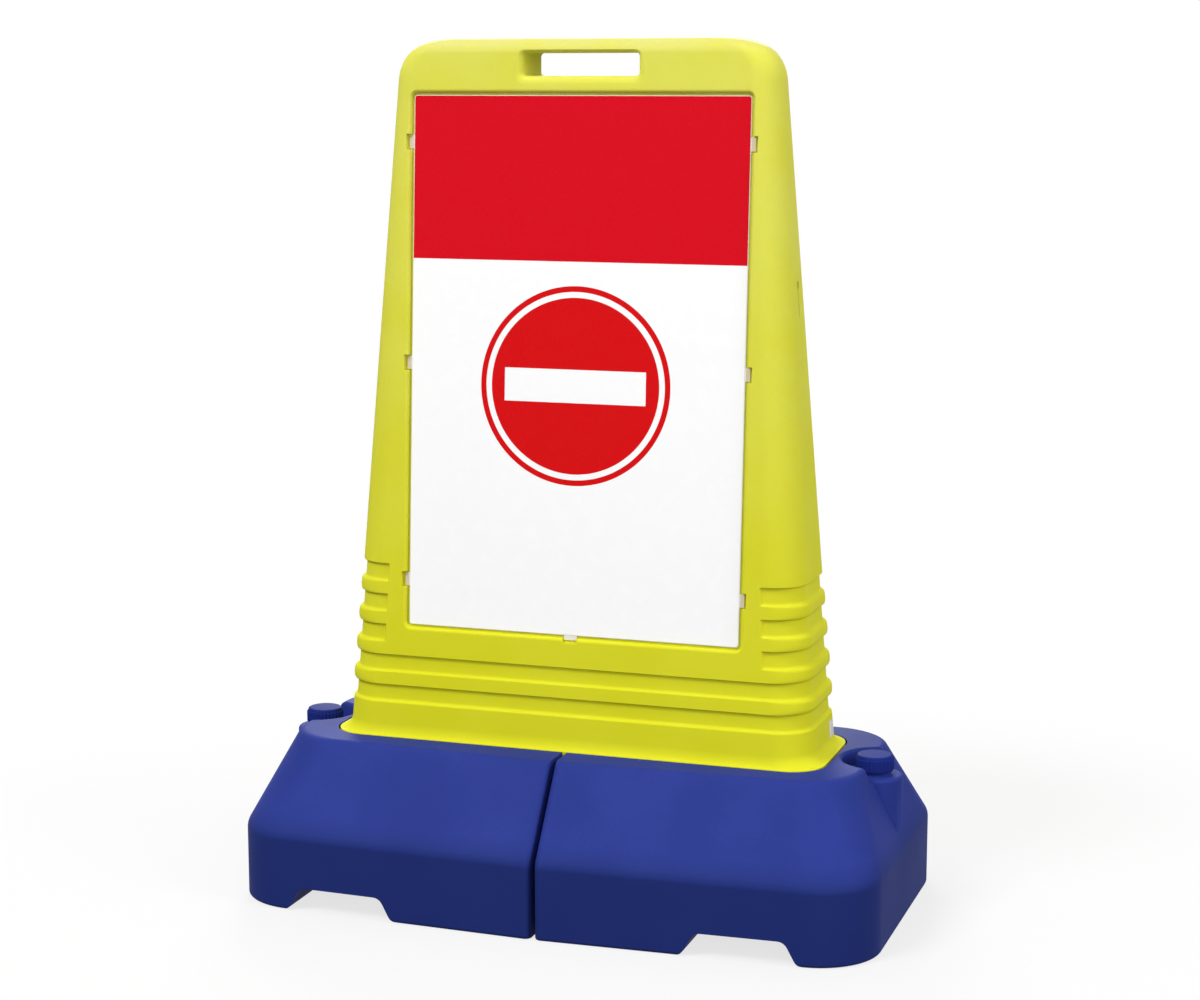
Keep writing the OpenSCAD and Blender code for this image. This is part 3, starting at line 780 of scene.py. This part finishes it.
def capRing(r, z, rib=0):  # eight places to a rib; rib is how far the ribs stand out
    places = []
    count = cap["ribs"] * 8
    for i in range(count):
        swell = 0.5 - 0.5 * math.cos(math.tau * i / 8)
        out = r + rib * swell ** 0.6
        places.append((out * math.cos(math.tau * i / count), out * math.sin(math.tau * i / count), z))
    return places


def makeCap(side):
    low, high = capLow.z, capHigh.z
    root = (capHigh.x - capLow.x) / 2 - cap["rib"]
    bore, plain = cap["bore"], root - cap["valley"]
    line = softLine([(bore, high - cap["top"], 0), (bore, low, 0.6), (plain, low, 0.6),
                     (plain, high, cap["edge"]), (0.9, high, 0)], 6)
    rings = []
    for r, z in line:
        inside = r < root - 1
        share = 0 if inside else min(1, max(0, (z - low - cap["ribFrom"]) / 1.2)) * min(
            1, max(0, (low + cap["ribTo"] - z) / 1.5))
        rings.append(capRing(r, z, cap["rib"] * share))
    foot = [i for i, (r, z) in enumerate(line) if r > root - 1 and z < low + 3][-1]
    for z in (low + cap["ribTo"], low + cap["ribTo"] - 1.5, low + cap["ribFrom"] + 1.2, low + cap["ribFrom"]):
        full = cap["ribFrom"] + 1 < z - low < cap["ribTo"] - 1
        rings.insert(foot + 1, capRing(root if full else plain, z, cap["rib"] if full else 0))
    lid = moved(stack(rings), Matrix.Translation((side * neck["x"], 0, 0)))
    word = "right" if side > 0 else "left"
    lid = asObject(lid, "lid")
    return finishPiece(lid, word + "Cap", word + "_cap", capBlue, ["cap_" + word], 40)


def rubberMaterial():
    material, start = newMaterial("sealRubber")
    place = start.node("ShaderNodeTexCoord", out=3)
    shade = place.noise(80, 2).smooth(0.3, 0.7).blend(linear(38, 38, 40), linear(28, 28, 30))
    roughness = place.noise(120, 2).smooth(0.3, 0.7, 0.68, 0.8)
    return finishMaterial(material, start, {"Base Color": shade, "Roughness": roughness,
                                            "Specular IOR Level": 0.3}, [(place.noise(900, 2), 0.00002)])


rubber = rubberMaterial()


def makeSeal(side):
    inner, outer = neck["bore"], (sealHigh.x - sealLow.x) / 2
    low, high = sealLow.z, sealHigh.z
    middle = (low + high) / 2
    line = softLine([(inner, middle, 0), (inner, low, 0.4), (outer, low, 0.4), (outer, high, 0.4),
                     (inner, high, 0.4), (inner, middle, 0)], 4)
    word = "right" if side > 0 else "left"
    ring = asObject(turned(line, (side * neck["x"], 0), 96), "ring")
    return finishPiece(ring, word + "Seal", word + "_seal", rubber, ["seal_" + word])


for side in (1, -1):
    makeCap(side)
    makeSeal(side)

# Camera, lights, floor

shot = {"place": (1.0148, -2.9956, 1.0480), "pitch": 80.45, "turn": 18.48, "lens": 74.75}


def makeCamera():
    lens = bpy.data.cameras.new("photoView")
    lens.lens = shot["lens"]
    lens.sensor_width = 36
    lens.sensor_fit = "HORIZONTAL"
    camera = bpy.data.objects.new("photoView", lens)
    bpy.context.scene.collection.objects.link(camera)
    camera.location = shot["place"]
    camera.rotation_euler = (math.radians(shot["pitch"]), 0, math.radians(shot["turn"]))
    bpy.context.scene.camera = camera


makeCamera()

studio = {
    "key": {"place": (-2.4, -3.9, 5.6), "size": 2.6, "power": 300},
    "top": {"place": (0.3, -0.2, 4.6), "size": 2.6, "power": 12},
    "fill": {"place": (2.2, -4.2, 2.0), "size": 2.2, "power": 58},
    "side": {"place": (4.2, -1.0, 2.6), "size": 2.2, "power": 80},
    "rim": {"place": (-1.6, 4.2, 2.2), "size": 2.6, "power": 165},
    "world": 0.42, "floorGlow": 0.74, "floorShade": 0.18, "whiteFrom": 0.7, "whiteTo": 1.3,
}


def makeLamp(name):
    look = studio[name]
    lamp = bpy.data.lights.new(name, "AREA")
    lamp.shape = "DISK"
    lamp.size = look["size"]
    lamp.energy = look["power"]
    obj = bpy.data.objects.new(name, lamp)
    bpy.context.scene.collection.objects.link(obj)
    obj.location = look["place"]
    obj.rotation_euler = (Vector((0, 0, 0.5)) - obj.location).to_track_quat("-Z", "Y").to_euler()


for name in ("key", "top", "fill", "side", "rim"):
    makeLamp(name)


def seenDirectly(start):  # 1 for rays that show the background: from the camera, a mirror or through glass
    paths = start.node("ShaderNodeLightPath")
    outputs = paths.socket.node.outputs
    camera, glossy, clear = (Wire(start.tree, outputs[n]) for n in
                             ("Is Camera Ray", "Is Glossy Ray", "Is Transmission Ray"))
    return camera.maths("MAXIMUM", camera.maths("MAXIMUM", camera, glossy), clear)


def makeWorld():
    world = bpy.data.worlds.new("studio")
    world.use_nodes = True
    world.node_tree.nodes.clear()
    start = Wire(world.node_tree)
    seen = seenDirectly(start)
    light = start.node("ShaderNodeBackground", None,
                       {"Color": (1, 1, 1, 1), "Strength": mix(studio["world"], 1, seen)})
    start.node("ShaderNodeOutputWorld", None, {"Surface": light})
    bpy.context.scene.world = world


def makeFloor():
    bm = bmesh.new()
    bmesh.ops.create_circle(bm, cap_ends=True, segments=64, radius=14)
    floor = asObject(bm, "floor")
    material, start = newMaterial("paleFloor")
    seen = seenDirectly(start)
    grey = studio["floorShade"]
    matt = start.node("ShaderNodeBsdfDiffuse", None, {"Color": (grey, grey, grey, 1)})
    glow, white = (start.node("ShaderNodeEmission", None, {"Color": (1, 1, 1, 1), "Strength": strength})
                   for strength in (seen * studio["floorGlow"], 1.0))
    near = start.node("ShaderNodeAddShader", None, {0: matt, 1: glow})
    x, y, z = start.node("ShaderNodeTexCoord", out=3).axes()
    away = (x * x + y * y).maths("SQRT", x * x + y * y)
    far = away.smooth(studio["whiteFrom"], studio["whiteTo"]) * seen
    both = start.node("ShaderNodeMixShader", None, {0: far, 1: near, 2: white})
    start.node("ShaderNodeOutputMaterial", None, {"Surface": both})
    floor.data.materials.append(material)


makeWorld()
makeFloor()
bpy.context.scene.view_settings.view_transform = "Standard"
print("camera, lights and floor ready")
